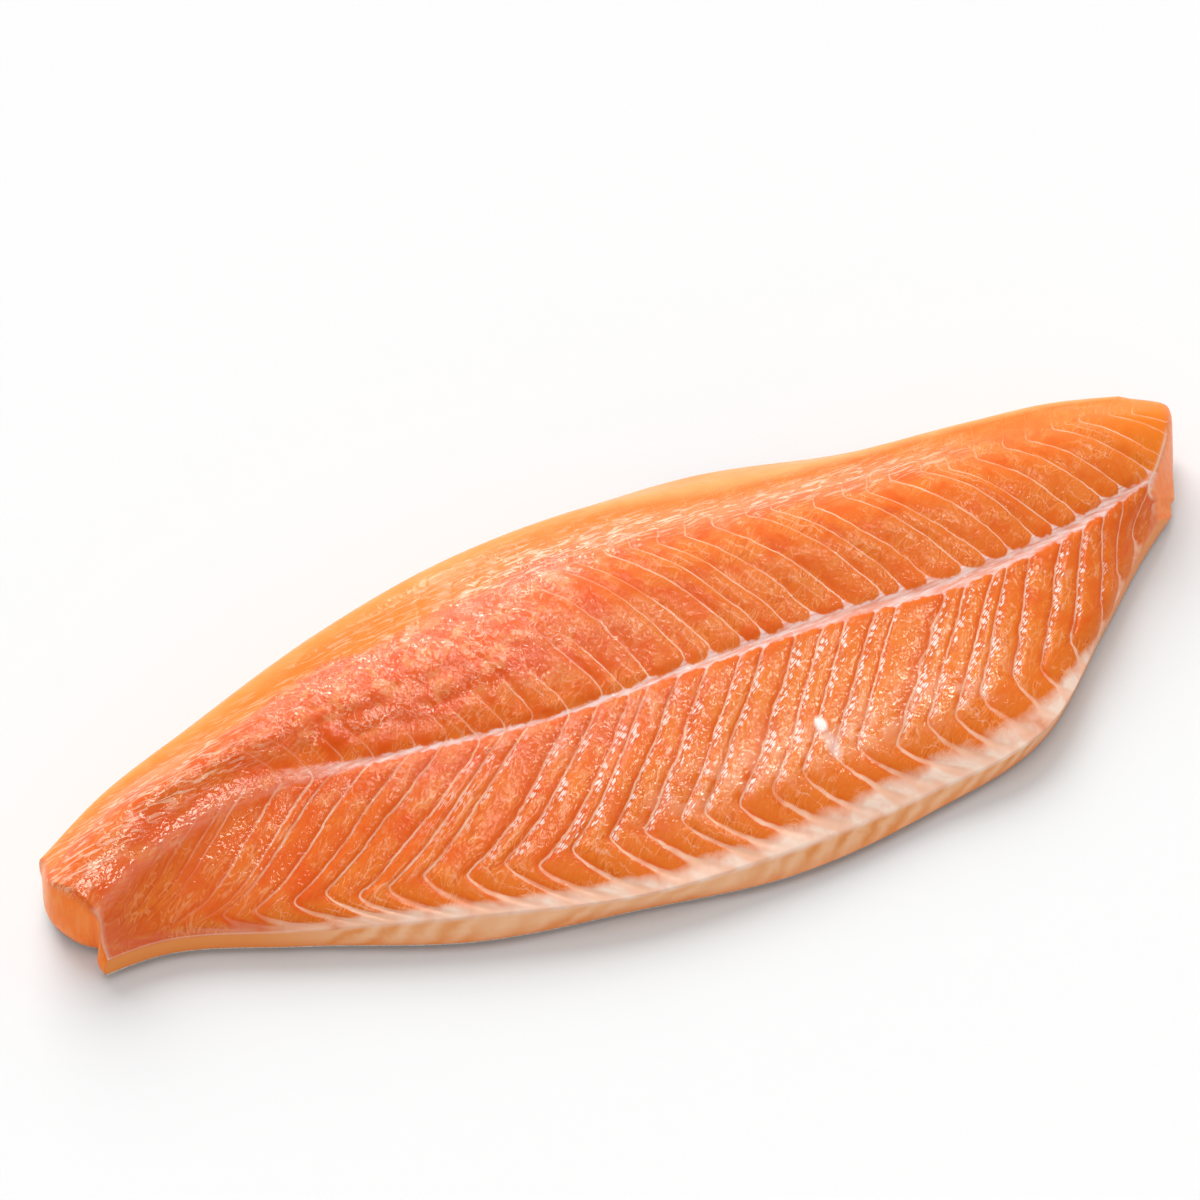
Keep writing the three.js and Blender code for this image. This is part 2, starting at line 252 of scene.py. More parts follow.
def wall_ring(down):
    """The rim carried a share of the way down its wall."""
    flat, rounded = cut_face(down), round_edge(down)
    reach = mix(flat[0], rounded[0], rim_round)
    height = mix(flat[1], rounded[1], rim_round)
    ring = mix(rim_top[:, :2], rim_out, reach[:, None])
    return np.column_stack([ring, mix(rim_foot + UNDERSIDE, rim_top[:, 2], height)])


def curl_ring(share, outset=0.0):
    """The rim's foot carried a share of the way in under the fillet."""
    edge = wall_ring(1.0)[:, :2]
    middle_x = np.clip(edge[:, 0], -145, 135)
    middle = np.column_stack([middle_x, (back_edge(middle_x) + belly_foot(middle_x)) / 2])
    inward = middle - edge
    length = np.linalg.norm(inward, axis=1)
    go = np.minimum(CURL_WIDTH, length * 0.6) * share - outset
    ring = edge + inward / length[:, None] * go[:, None]
    return np.column_stack([ring, rim_foot * (1 - share) ** 2])


WALL_STEPS = np.linspace(0, 1, 11)[1:]
CURL_STEPS = [0.06, 0.16, 0.3, 0.46, 0.62, 0.8, 1]
walls = [wall_ring(step) for step in WALL_STEPS]

# The box of the smooth walls is the box of the CAD solid, and that says where the origin is.
low, high = (np.array(corner) * 1000 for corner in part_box("flesh"))
outline = np.concatenate(walls)[:, :2]
shift = np.append((low + high)[:2] / 2 - (outline.min(0) + outline.max(0)) / 2, 0)

# Relief of the top, in millimetres: each block is crowned between its two sheets and lies a little
# higher or lower than the next. The film towards the tail is crumpled. The seam is a furrow that
# turns into a ridge at the tail.
BLOCK_CROWN, SHEET_DEPTH, BLOCK_UNEVENNESS = 0.38, 0.2, 0.14
FILM_CRUMPLE, FILM_DEPTH = 0.55, 0.2
WAVINESS = 0.3
FURROW, RIDGE = -0.5, 0.8
FURROW_WIDTH, RIDGE_WIDTH = 1.8, 5
FLECK, FLECK_HEIGHT = (24.0, -34.5), 0.5


def bell(distance, width):
    return np.exp(-((distance / width) ** 2))


def top_grain(size, seed):
    """Grain at each point of the grid."""
    return grain(top.reshape(-1, 3), size, seed).reshape(x_top.shape)


near_end = np.minimum(x_top - x_top[:, :1], x_top[:, -1:] - x_top)
end_fade = smooth(0, 9, near_end)
side_fade = smooth(0, 0.06, row_top) * smooth(0, 0.05, 1 - row_top)
wobble = top_grain(9, 1) * 0.07 + top_grain(3.5, 2) * 0.03
in_block = np.stack([block / 1.4, row_top * 4, 0 * block], -1).reshape(-1, 3)
wobble += grain(in_block, 1, 7).reshape(x_top.shape) * 0.16
phase = block + wobble
to_sheet = np.abs(phase - np.round(phase)) * 2
crown = 1 - (1 - to_sheet) ** 3
number = np.floor(phase).astype(int)
lift = np.random.default_rng(3).uniform(-1, 1, 256)[number % 256]
belly_side = smooth(0, 4, -from_seam)
sheets = mix(smooth(-100, -20, x_top), smooth(-140, -100, x_top), belly_side)
margin = row_top + 0.05 * top_grain(12, 8)
crumple = (1 - smooth(-60, 10, x_top)) * smooth(2, 6, from_seam) * (1 - smooth(0.84, 0.98, margin))
crumple *= smooth(-168, -140, x_top)
crumple_height = np.abs(top_grain(7, 4)) + 0.35 * np.abs(top_grain(3.5, 5))
ridge = 1 - smooth(-120, -80, x_top)
relief = BLOCK_CROWN * crown - SHEET_DEPTH + BLOCK_UNEVENNESS * lift * crown
relief *= mix(0.15, 1, sheets)
relief += crumple * (FILM_CRUMPLE * crumple_height - FILM_DEPTH)
relief += top_grain(14, 6) * WAVINESS
relief *= end_fade * side_fade
near_seam = bell(from_seam, mix(FURROW_WIDTH, RIDGE_WIDTH, ridge))
relief = mix(relief, mix(FURROW, RIDGE, ridge) * end_fade, near_seam)
fleck_height = np.exp(-(((x_top - FLECK[0]) / 1.7) ** 2 + ((top[..., 1] - FLECK[1]) / 2.2) ** 2))
relief += FLECK_HEIGHT * fleck_height
shown = top + normal * relief[..., None]

# The grid primitive is bent to the top. Its border is extruded ring by ring down the walls and in
# under the fillet, where it is filled.
bpy.ops.object.select_all(action="DESELECT")
bpy.ops.mesh.primitive_grid_add(x_subdivisions=COLUMNS - 1, y_subdivisions=ROWS - 1, size=1)
flesh = bpy.context.object
flesh.name = "fillet_flesh"
mesh = flesh.data
spot = np.empty(len(mesh.vertices) * 3)
mesh.vertices.foreach_get("co", spot)
spot = spot.reshape(-1, 3)
column_of = np.rint((spot[:, 0] + 0.5) * (COLUMNS - 1)).astype(int)
row_of = np.rint((spot[:, 1] + 0.5) * (ROWS - 1)).astype(int)
rim_of = np.full((ROWS, COLUMNS), -1)
rim_of[rim_row_index, rim_column_index] = np.arange(len(rim_grid))
rim_attribute = mesh.attributes.new("rim", "INT", "POINT")
rim_attribute.data.foreach_set("value", rim_of[row_of, column_of].astype(np.int32))


def extrude_ring(mesh_object, select_border):
    """Extrudes the open border once, and returns the rim number of each new vertex."""
    data = mesh_object.data
    count = len(data.vertices)
    bpy.ops.object.mode_set(mode="EDIT")
    if select_border:
        bpy.ops.mesh.select_all(action="DESELECT")
        bpy.ops.mesh.select_mode(type="EDGE")
        bpy.ops.mesh.select_non_manifold()
    bpy.ops.mesh.extrude_region_move()
    bpy.ops.object.mode_set(mode="OBJECT")
    numbers = np.empty(len(data.vertices), np.int32)
    data.attributes["rim"].data.foreach_get("value", numbers)
    return numbers[count:]


curls = [curl_ring(share) + [0, 0, UNDERSIDE] for share in CURL_STEPS]
points = [shown[row_of, column_of]]
uv = [np.column_stack([phase[row_of, column_of], row_places[row_of]])]
rim_block = phase[rim_row_index, rim_column_index]

# What the material needs to know of each place, as numbers from 0 to 1 or lengths in millimetres.
back_side = smooth(0, 3, from_seam)
upper_belly = smooth(KNEE - 0.02, KNEE + 0.03, row_top) * (1 - back_side)
lower_belly = 1 - smooth(KNEE - 0.03, KNEE + 0.01, row_top)
back_lines = 0.45 * smooth(-125, -95, x_top) + 0.55 * smooth(-75, -15, x_top)
line_share = mix(smooth(-150, -105, x_top), back_lines, back_side)
line_share *= mix(1, 0.1, smooth(0.8, 0.9, row_top))
line_share *= 1 - 0.6 * smooth(125, 150, x_top - 30 * row_top)
line_width = 0.38 - 0.07 * back_side
line_width += 0.6 * smooth(KNEE, 0.12, row_top) + 2.2 * smooth(0.11, 0.0, row_top)
film = (1 - smooth(-50, 15, x_top)) * smooth(-125, -95, x_top)
film *= smooth(0.55, 0.64, margin) * (1 - smooth(0.86, 0.93, margin))
crest = bell(row_top - 0.9, 0.065) * smooth(-60, -20, x_top) * (1 - smooth(80, 120, x_top))
tail_feathers = 0.7 * (1 - smooth(-125, -95, x_top)) * smooth(3, 8, from_seam)
tail_feathers *= 1 - smooth(0.88, 0.95, margin)
edge_streaks = 0.4 * smooth(0.86, 0.92, margin) * (1 - smooth(-40, 20, x_top))
below_seam = bell(from_seam + 6, 5) * smooth(-135, -95, x_top) * (1 - smooth(-20, 30, x_top))
film = np.clip(film + 0.5 * below_seam, 0, 1)
# On the crest these streaks are painted glints; at the tail and the back edge they are pale streaks
# of film.
streaked = np.clip(crest + tail_feathers + edge_streaks, 0, 1)
# Where the rope's grains show, with their painted glints and painted shade.
beads = upper_belly * (1 - smooth(0.455, 0.49, row_top))
beads *= smooth(-95, -40, x_top) * (1 - smooth(110, 130, x_top))
fatty = smooth(-135, -95, x_top) * (1 - smooth(90, 125, x_top))
cream = smooth(0.16 + 0.06 * smooth(0, 40, x_top), 0.0, row_top) * fatty
spikes = smooth(-40, 10, x_top)
pink = bell(from_seam, 8) * (1 - smooth(-1, 0.5, from_seam) * 0.75)
amber = smooth(0.84, 0.93, margin) * (1 - smooth(0, 60, x_top) * 0.5)
amber = np.maximum(amber, smooth(135, 160, x_top) * back_side)
fleck_tail = np.exp(-(((x_top - 24) / 2.2) ** 2 + ((top[..., 1] - FLECK[1] + 6) / 5) ** 2))
fleck = np.maximum(smooth(0.25, 0.6, fleck_height), 0.45 * smooth(0.3, 0.8, fleck_tail))
knee_film = bell(row_top - KNEE - 0.05, 0.055)
knee_film *= smooth(-45, -10, x_top) * (1 - smooth(60, 90, x_top))
rippled = 0.12 + 0.1 * crest + 0.1 * knee_film
wet_film = film + 0.2 * beads + crest + 0.5 * knee_film + 1 - smooth(-135, -105, x_top)
BLOCK_GLOSS, WALL_GLOSS = 0.16, 0.35
wet = mix(BLOCK_GLOSS, 1, np.clip(wet_film, 0, 1))
MILK_PLACES = [-170, -110, -50, 0, 60, 120, 165]
milky_back = curve(MILK_PLACES, [0.2, 0.1, 0.05, 0.25, 0.45, 0.6, 1.1])(x_top)
milky_upper = curve(MILK_PLACES, [0.3, 0.3, 0.4, 0.8, 1.0, 0.6, 0.4])(x_top)
milky_lower = curve(MILK_PLACES, [0.0, 0.3, 0.4, 0.4, 0.6, 0.4, 0.3])(x_top)
milky = mix(mix(milky_upper, milky_lower, lower_belly), milky_back, back_side)
covered_side = back_side * (1 - smooth(0.8, 0.9, margin)) * smooth(-70, -20, x_top)
from_head = x_top[:, -1:] - x_top
from_tail = x_top - x_top[:, :1]
# A pale line painted along the head end's top edge as its highlight, and pale lines along the tail
# end's edge and the belly rim near the tail.
edge_line_and_highlight = bell(from_head, 0.5) * smooth(0.3, 0.4, row_top) * (1 - smooth(0.62, 0.7, row_top))
edge_line_and_highlight += 0.6 * bell(from_tail, 0.6) * (1 - smooth(0.5, 0.55, row_top))
edge_line_and_highlight += 0.5 * (1 - smooth(0, 0.02, row_top)) * (1 - smooth(-130, -100, x_top))
SEAM_PLACES = [-170, -150, -125, -95, -60, 0, 20, 120, 150, 170]
seam_width = curve(SEAM_PLACES, [0.2, 0.6, 1.5, 1.1, 0.8, 0.8, 1.2, 1.3, 0.6, 0.2])(x_top)
top_notes = {
    "block_width": block_width,
    "from_seam": from_seam,
    "seam_width": seam_width,
    "line_width": line_width,
    "line_share": line_share,
    "back_side": back_side,
    "upper_belly": upper_belly,
    "lower_belly": lower_belly,
    "film": film,
    "streaked": streaked,
    "covered_side": covered_side,
    "fatty": fatty,
    "edge_line_and_highlight": edge_line_and_highlight,
    "fleck": fleck,
    "knee_film": knee_film,
    "beads": beads,
    "cream": cream,
    "pink": pink,
    "spikes": spikes,
    "amber": amber,
    "milky": milky,
    "rippled": rippled,
    "wet": wet,
    "ridge": ridge * bell(from_seam, RIDGE_WIDTH),
}
wall_rims = {
    "belly_wall": on_belly,
    "head_wall": on_head,
    "back_wall": on_back,
    "tail_wall": on_tail,
}
top_notes |= {name: x_top * 0 for name in wall_rims}
notes = {name: [values[row_of, column_of]] for name, values in top_notes.items()}
BELLY_SLANT = 1.3  # blocks that a sheet moves along on its way down the belly side
for step, ring in enumerate(walls + curls):
    numbers = extrude_ring(flesh, step == 0)
    points.append(ring[numbers])
    down = (step + 1) / len(walls)
    slant = np.where(on_belly, BELLY_SLANT, 0) * down
    beyond = np.where(on_belly, -down, np.where(on_back, 1 + down, rim_row))
    uv.append(np.column_stack([rim_block + slant, beyond])[numbers])
    for name, values in top_notes.items():
        held = values[rim_row_index, rim_column_index].copy()
        if name in wall_rims:
            held = wall_rims[name] * down
        if name == "edge_line_and_highlight":
            held[:] = 0
        if name == "wet":
            held[:] = WALL_GLOSS
        notes[name].append(held[numbers])
bpy.ops.object.mode_set(mode="EDIT")
bpy.ops.mesh.edge_face_add()
bpy.ops.mesh.quads_convert_to_tris()
bpy.ops.object.mode_set(mode="OBJECT")
all_points = (np.concatenate(points) + shift) / 1000
mesh.vertices.foreach_set("co", all_points.ravel())
mesh.update()
bpy.ops.object.mode_set(mode="EDIT")
bpy.ops.mesh.select_all(action="SELECT")
bpy.ops.mesh.normals_make_consistent(inside=False)
bpy.ops.object.mode_set(mode="OBJECT")
bpy.ops.object.shade_smooth()
uv = np.concatenate(uv)
loop_vertex = np.empty(len(mesh.loops), np.int32)
mesh.loops.foreach_get("vertex_index", loop_vertex)
uv_map = mesh.uv_layers.new(name="muscle")
uv_map.data.foreach_set("uv", uv[loop_vertex].astype(np.float32).ravel())
for name, values in notes.items():
    attribute = mesh.attributes.new(name, "FLOAT", "POINT")
    attribute.data.foreach_set("value", np.concatenate(values).astype(np.float32))

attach(flesh, "root")
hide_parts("flesh")


def paint(code):
    """An sRGB hex colour as the linear colour that a node takes."""
    parts = [int(code[i : i + 2], 16) / 255 for i in (1, 3, 5)]
    return (*[p / 12.92 if p <= 0.04045 else ((p + 0.055) / 1.055) ** 2.4 for p in parts], 1)


def add(tree, kind, inputs=None, **settings):
    """Adds a shader node with its settings, and links or sets its inputs."""
    made = tree.nodes.new("ShaderNode" + kind)
    for name, value in settings.items():
        setattr(made, name, value)
    for socket, value in (inputs or {}).items():
        if isinstance(value, bpy.types.Node):
            value = value.outputs[0]
        if isinstance(value, bpy.types.NodeSocket):
            tree.links.new(value, made.inputs[socket])
        else:
            made.inputs[socket].default_value = value
    return made


# Raw trout muscle, cut with a knife and wet. Its grain shows as fine fibres, its sheets as thin
# pale lines, and its film of water and fat as small white glints: some are the lamps' reflections
# and some are painted highlights.
flesh_material = bpy.data.materials.new("raw_trout_muscle")
flesh_material.use_nodes = True
tree = flesh_material.node_tree
shader = tree.nodes["Principled BSDF"]
here = add(tree, "TexCoord").outputs["Object"]
muscle = add(tree, "SeparateXYZ", {0: add(tree, "UVMap", uv_map="muscle")})
note = {name: add(tree, "Attribute", attribute_name=name).outputs["Fac"] for name in top_notes}


def per(size):
    """A noise scale for a feature of a size in millimetres."""
    return 1000 / size


# Where a place lies between two sheets: how far past the last one, and how far from the nearest.
waver = add(tree, "TexNoise", {"Vector": here, "Scale": per(3), "Detail": 2})
phase_here = add(tree, "Math", {0: waver, 1: 0.12, 2: muscle}, operation="MULTIPLY_ADD")
fraction = add(tree, "Math", {0: phase_here}, operation="FRACT")
past_line = add(tree, "Math", {0: fraction, 1: note["block_width"]}, operation="MULTIPLY")
to_line = add(tree, "Math", {0: phase_here, 1: 0.5}, operation="PINGPONG")
line_gap = add(tree, "Math", {0: to_line, 1: note["block_width"]}, operation="MULTIPLY")

# The meat itself: deep orange where it is clear, and milky in patches.
patches = add(tree, "TexNoise", {"Vector": here, "Scale": per(9), "Detail": 3, "Distortion": 0.6})
milk = add(tree, "Math", {0: patches, 1: 2.6, 2: note["milky"]}, operation="MULTIPLY_ADD")
milk = add(tree, "MapRange", {0: milk, 1: 1.1, 2: 2.3, 3: 0.0, 4: 1.0})
meat = add(
    tree, "Mix", {0: milk, 6: paint("#E25406"), 7: paint("#EA7C26")}, data_type="RGBA"
).outputs[2]

# On the back side a milky film with a torn edge covers each block's part before the next sheet.
torn = add(tree, "TexNoise", {"Vector": here, "Scale": per(5.5), "Detail": 3, "Distortion": 0.8})
torn_edge = add(tree, "Math", {0: torn, 1: 2.0, 2: fraction}, operation="MULTIPLY_ADD")
covered = add(
    tree,
    "MapRange",
    {0: torn_edge, 1: 1.43, 2: 1.58, 3: 0.0, 4: 1.0},
    interpolation_type="SMOOTHSTEP",
)
covered = add(tree, "Math", {0: covered, 1: note["covered_side"]}, operation="MULTIPLY")
cover_share = add(tree, "MapRange", {0: patches, 1: 0.4, 2: 0.6, 3: 0.3, 4: 0.85})
covered = add(tree, "Math", {0: covered, 1: cover_share}, operation="MULTIPLY")
meat = add(tree, "Mix", {0: covered, 6: meat, 7: paint("#E87C32")}, data_type="RGBA").outputs[2]

# On the belly side a darker orange is painted just before each next sheet, as the shade of the
# groove the block dips into there.
groove_shade = add(
    tree,
    "MapRange",
    {0: fraction, 1: 0.7, 2: 0.95, 3: 0.0, 4: 0.75},
    interpolation_type="SMOOTHSTEP",
)
groove_shade = add(tree, "Math", {0: groove_shade, 1: note["upper_belly"]}, operation="MULTIPLY")
meat = add(tree, "Mix", {0: groove_shade, 6: meat, 7: paint("#DC5204")}, data_type="RGBA").outputs[2]

# Below the knees each block is a pocket of clear meat.
pocket = add(
    tree, "MapRange", {0: line_gap, 1: 0.6, 2: 1.8, 3: 0.0, 4: 0.8}, interpolation_type="SMOOTHSTEP"
)
pocket = add(tree, "Math", {0: pocket, 1: note["lower_belly"]}, operation="MULTIPLY")
meat = add(tree, "Mix", {0: pocket, 6: meat, 7: paint("#E67420")}, data_type="RGBA").outputs[2]

# Fine fibres run across the fillet, and pale curled ones lie on it in patches, each with a dark
# stroke beside it that is painted shade.
grainwise = add(
    tree,
    "Mapping",
    {"Vector": here, "Rotation": (0, 0, 0.5), "Scale": (0.002, 0.0006, 0.002)},
    vector_type="TEXTURE",
)
fibres = add(tree, "TexNoise", {"Vector": grainwise, "Scale": 1.0, "Detail": 1, "Distortion": 1.6})
fibre = add(tree, "MapRange", {0: fibres, 1: 0.52, 2: 0.64, 3: 0.0, 4: 0.12})
meat = add(tree, "Mix", {0: fibre, 6: meat, 7: paint("#CC4402")}, data_type="RGBA").outputs[2]
pale_fibre = add(tree, "MapRange", {0: fibres, 1: 0.46, 2: 0.34, 3: 0.0, 4: 0.08})
meat = add(tree, "Mix", {0: pale_fibre, 6: meat, 7: paint("#F09850")}, data_type="RGBA").outputs[2]
curl_place = add(
    tree,
    "Mapping",
    {"Vector": here, "Rotation": (0, 0, 0.6), "Scale": (0.009, 0.0028, 0.008)},
    vector_type="TEXTURE",
)
curls = add(tree, "TexNoise", {"Vector": curl_place, "Scale": 1.0, "Detail": 1, "Distortion": 1.8})
curls_shown = add(tree, "MapRange", {0: patches, 1: 0.42, 2: 0.56, 3: 0.1, 4: 1.0})
# The second, dark stroke sits just beside each pale curl as its painted shade.
for middle, share, code in ((0.5, 0.42, "#F4A674"), (0.58, 0.36, "#C44202")):
    curl_stroke_and_shade = add(tree, "Math", {0: curls, 1: middle}, operation="SUBTRACT")
    curl_stroke_and_shade = add(tree, "Math", {0: curl_stroke_and_shade}, operation="ABSOLUTE")
    curl_stroke_and_shade = add(tree, "MapRange", {0: curl_stroke_and_shade, 1: 0.01, 2: 0.035, 3: share, 4: 0.0})
    curl_stroke_and_shade = add(tree, "Math", {0: curl_stroke_and_shade, 1: curls_shown}, operation="MULTIPLY")
    meat = add(tree, "Mix", {0: curl_stroke_and_shade, 6: meat, 7: paint(code)}, data_type="RGBA").outputs[2]
pink_share = add(tree, "Math", {0: note["pink"], 1: 0.28}, operation="MULTIPLY")
meat = add(tree, "Mix", {0: pink_share, 6: meat, 7: paint("#E25412")}, data_type="RGBA").outputs[2]
amber_share = add(tree, "Math", {0: note["amber"], 1: 0.75}, operation="MULTIPLY")
meat = add(tree, "Mix", {0: amber_share, 6: meat, 7: paint("#EE7C1A")}, data_type="RGBA").outputs[2]

# The belly's fat: a cream edge into which the sheets run out.
fat_noise = add(tree, "TexNoise", {"Vector": here, "Scale": per(9), "Detail": 3})
fat = add(tree, "Math", {0: fat_noise, 1: note["cream"]}, operation="MULTIPLY")
fat = add(tree, "MapRange", {0: fat, 1: 0.2, 2: 0.48, 3: 0.0, 4: 0.9})
meat = add(tree, "Mix", {0: fat, 6: meat, 7: paint("#FFE6D4")}, data_type="RGBA").outputs[2]

# Milky film on the knees.
knee_patch = add(tree, "MapRange", {0: torn, 1: 0.4, 2: 0.62, 3: 0.0, 4: 0.6})
knee_patch = add(tree, "Math", {0: knee_patch, 1: note["knee_film"]}, operation="MULTIPLY")
meat = add(tree, "Mix", {0: knee_patch, 6: meat, 7: paint("#F8AE88")}, data_type="RGBA").outputs[2]

# The sheets, seen edge on, with faint ones between them.
inner_width = add(tree, "Math", {0: note["line_width"], 1: 0.35}, operation="MULTIPLY")
line = add(
    tree,
    "MapRange",
    {0: line_gap, 1: inner_width, 2: note["line_width"], 3: 1.0, 4: 0.0},
    interpolation_type="SMOOTHSTEP",
)
thickness = add(tree, "TexNoise", {"Vector": here, "Scale": per(7), "Detail": 2})
thickness = add(tree, "MapRange", {0: thickness, 1: 0.32, 2: 0.6, 3: 0.3, 4: 0.95})
line = add(tree, "Math", {0: line, 1: thickness}, operation="MULTIPLY")
faint_gap = add(tree, "Math", {0: torn, 1: 0.9, 2: phase_here}, operation="MULTIPLY_ADD")
faint_gap = add(tree, "Math", {0: faint_gap, 1: 0.5}, operation="PINGPONG")
faint_gap = add(tree, "Math", {0: faint_gap, 1: note["block_width"]}, operation="MULTIPLY")
faint = add(tree, "MapRange", {0: faint_gap, 1: 0.1, 2: 0.3, 3: 1.0, 4: 0.0})
faint_share = add(tree, "MapRange", {0: patches, 1: 0.46, 2: 0.6, 3: 0.0, 4: 0.4})
faint = add(tree, "Math", {0: faint, 1: faint_share}, operation="MULTIPLY")
line = add(tree, "Math", {0: line, 1: faint}, operation="MAXIMUM")
line = add(tree, "Math", {0: line, 1: note["line_share"]}, operation="MULTIPLY")
surface = add(tree, "Mix", {0: line, 6: meat, 7: paint("#F4BC9C")}, data_type="RGBA").outputs[2]

# Beside the belly side's sheets: short grains like the turns of a rope, each painted near white as
# its glint, with painted shade between them.
rope = add(
    tree,
    "Mapping",
    {"Vector": here, "Rotation": (0, 0, 0.5), "Scale": (0.0024, 0.00055, 0.002)},
    vector_type="TEXTURE",
)
grains = add(tree, "TexVoronoi", {"Vector": rope, "Scale": 1.0, "Randomness": 0.45})
bead = add(tree, "MapRange", {0: grains, 1: 0.33, 2: 0.45, 3: 1.0, 4: 0.0})
band_width = add(tree, "MapRange", {0: torn, 1: 0.36, 2: 0.64, 3: 0.9, 4: 2.6})
band = add(tree, "Math", {0: band_width, 1: past_line}, operation="SUBTRACT")
band = add(tree, "MapRange", {0: band, 1: 0.0, 2: 0.25, 3: 0.0, 4: 1.0})
band_start = add(tree, "MapRange", {0: past_line, 1: 0.1, 2: 0.3, 3: 0.0, 4: 1.0})
band = add(tree, "Math", {0: band, 1: band_start}, operation="MULTIPLY")
band = add(tree, "Math", {0: band, 1: note["beads"]}, operation="MULTIPLY")
# The band around the grains is darkened as painted shade.
bead_shade_share = add(tree, "Math", {0: band, 1: 0.35}, operation="MULTIPLY")
surface = add(
    tree, "Mix", {0: bead_shade_share, 6: surface, 7: paint("#CC4408")}, data_type="RGBA"
).outputs[2]
bead = add(tree, "Math", {0: bead, 1: band}, operation="MULTIPLY")
# Each grain is painted near white as its painted highlight.
bead_glint_share = add(tree, "Math", {0: bead, 1: 0.9}, operation="MULTIPLY")
surface = add(
    tree, "Mix", {0: bead_glint_share, 6: surface, 7: paint("#FFEEE4")}, data_type="RGBA"
).outputs[2]

# The film on the back side towards the tail: torn membrane in small flat facets, with fine folds;
# some facets are painted paler as their sheen, and thin pale lines along the folds are painted
# glints.
folds = add(tree, "TexNoise", {"Vector": here, "Scale": per(5), "Detail": 2, "Distortion": 1.5})
facet_place = add(
    tree,
    "VectorMath",
    {0: folds.outputs["Color"], 1: (0.004, 0.004, 0.004), 2: here},
    operation="MULTIPLY_ADD",
)
facet_place = add(
    tree,
    "Mapping",
    {"Vector": facet_place, "Rotation": (0, 0, 0.4), "Scale": (0.0062, 0.0038, 0.006)},
    vector_type="TEXTURE",
)
facets = add(tree, "TexVoronoi", {"Vector": facet_place, "Scale": 1.0})
facet_kind = add(tree, "SeparateXYZ", {0: facets.outputs["Color"]})
# Facets that are painted paler as a painted sheen.
shine = add(tree, "MapRange", {0: facet_kind, 1: 0.5, 2: 0.6, 3: 0.0, 4: 1.0})
shine_part = add(tree, "MapRange", {0: folds, 1: 0.44, 2: 0.56, 3: 0.1, 4: 1.0})
shine = add(tree, "Math", {0: shine, 1: shine_part}, operation="MULTIPLY")
crumpling = add(
    tree, "TexNoise", {"Vector": here, "Scale": per(3.2), "Detail": 1, "Distortion": 1.6}
)
crumpled = add(tree, "Math", {0: crumpling, 1: 0.5}, operation="SUBTRACT")
crumpled = add(tree, "Math", {0: crumpled}, operation="ABSOLUTE")
# Thin pale lines along the folds, painted as glints.
fold_glint = add(tree, "MapRange", {0: crumpled, 1: 0.008, 2: 0.03, 3: 0.85, 4: 0.0})
fold_glint_shown = add(tree, "MapRange", {0: patches, 1: 0.4, 2: 0.6, 3: 0.15, 4: 1.0})
fold_glint = add(tree, "Math", {0: fold_glint, 1: fold_glint_shown}, operation="MULTIPLY")
film_with_painted_sheen = add(
    tree, "Mix", {0: shine, 6: paint("#E65002"), 7: paint("#EE884C")}, data_type="RGBA"
).outputs[2]
film_with_painted_sheen = add(
    tree, "Mix", {0: fold_glint, 6: film_with_painted_sheen, 7: paint("#FBC4A8")}, data_type="RGBA"
).outputs[2]
film_share = add(tree, "Math", {0: note["film"], 1: 0.7}, operation="MULTIPLY")
surface = add(tree, "Mix", {0: film_share, 6: surface, 7: film_with_painted_sheen}, data_type="RGBA").outputs[2]

# Along the crest the film's pale streaks are painted glints; at the tail and at the back edge the
# film is drawn out into pale streaks.
drawn = add(
    tree, "Mapping", {"Vector": here, "Scale": (0.006, 0.0009, 0.002)}, vector_type="TEXTURE"
)
drawn_out = add(tree, "TexNoise", {"Vector": drawn, "Scale": 1.0, "Detail": 2, "Distortion": 0.9})
streak = add(tree, "MapRange", {0: drawn_out, 1: 0.53, 2: 0.6, 3: 0.0, 4: 1.0})
streak = add(tree, "Math", {0: streak, 1: note["streaked"]}, operation="MULTIPLY")
streak_and_glint_share = add(tree, "Math", {0: streak, 1: 0.8}, operation="MULTIPLY")
surface = add(
    tree, "Mix", {0: streak_and_glint_share, 6: surface, 7: paint("#F9CAAA")}, data_type="RGBA"
).outputs[2]

# The seam: pale pinkish tissue that runs up into a cusp at each sheet of the back side.
seam_gap = add(tree, "Math", {0: note["from_seam"]}, operation="ABSOLUTE")
cusp = add(tree, "MapRange", {0: line_gap, 1: 0.0, 2: 2.6, 3: 1.0, 4: 0.0})
cusp = add(tree, "Math", {0: cusp, 1: 2.5}, operation="POWER")
cusp_height = add(tree, "MapRange", {0: note["from_seam"], 1: -0.5, 2: 0.5, 3: 1.0, 4: 2.8})
cusp = add(tree, "Math", {0: cusp, 1: cusp_height}, operation="MULTIPLY")
cusp = add(tree, "Math", {0: cusp, 1: note["spikes"]}, operation="MULTIPLY")
ragged = add(tree, "TexNoise", {"Vector": here, "Scale": per(2.2), "Detail": 3})
seam_edge = add(tree, "Math", {0: ragged, 1: 2.2, 2: note["seam_width"]}, operation="MULTIPLY_ADD")
seam_edge = add(tree, "Math", {0: seam_edge, 1: -1.1}, operation="ADD")
seam_edge = add(tree, "Math", {0: seam_edge, 1: cusp}, operation="ADD")
seam_inside = add(tree, "Math", {0: seam_edge, 1: seam_gap}, operation="SUBTRACT")
seam_soft = add(tree, "MapRange", {0: note["ridge"], 1: 0.0, 2: 0.8, 3: -0.3, 4: -2.5})
seam = add(
    tree,
    "MapRange",
    {0: seam_inside, 1: seam_soft, 2: 0.5, 3: 0.0, 4: 1.0},
    interpolation_type="SMOOTHSTEP",
)
lengthwise = add(tree, "Mapping", {"Vector": here, "Scale": (0.12, 1, 1)})
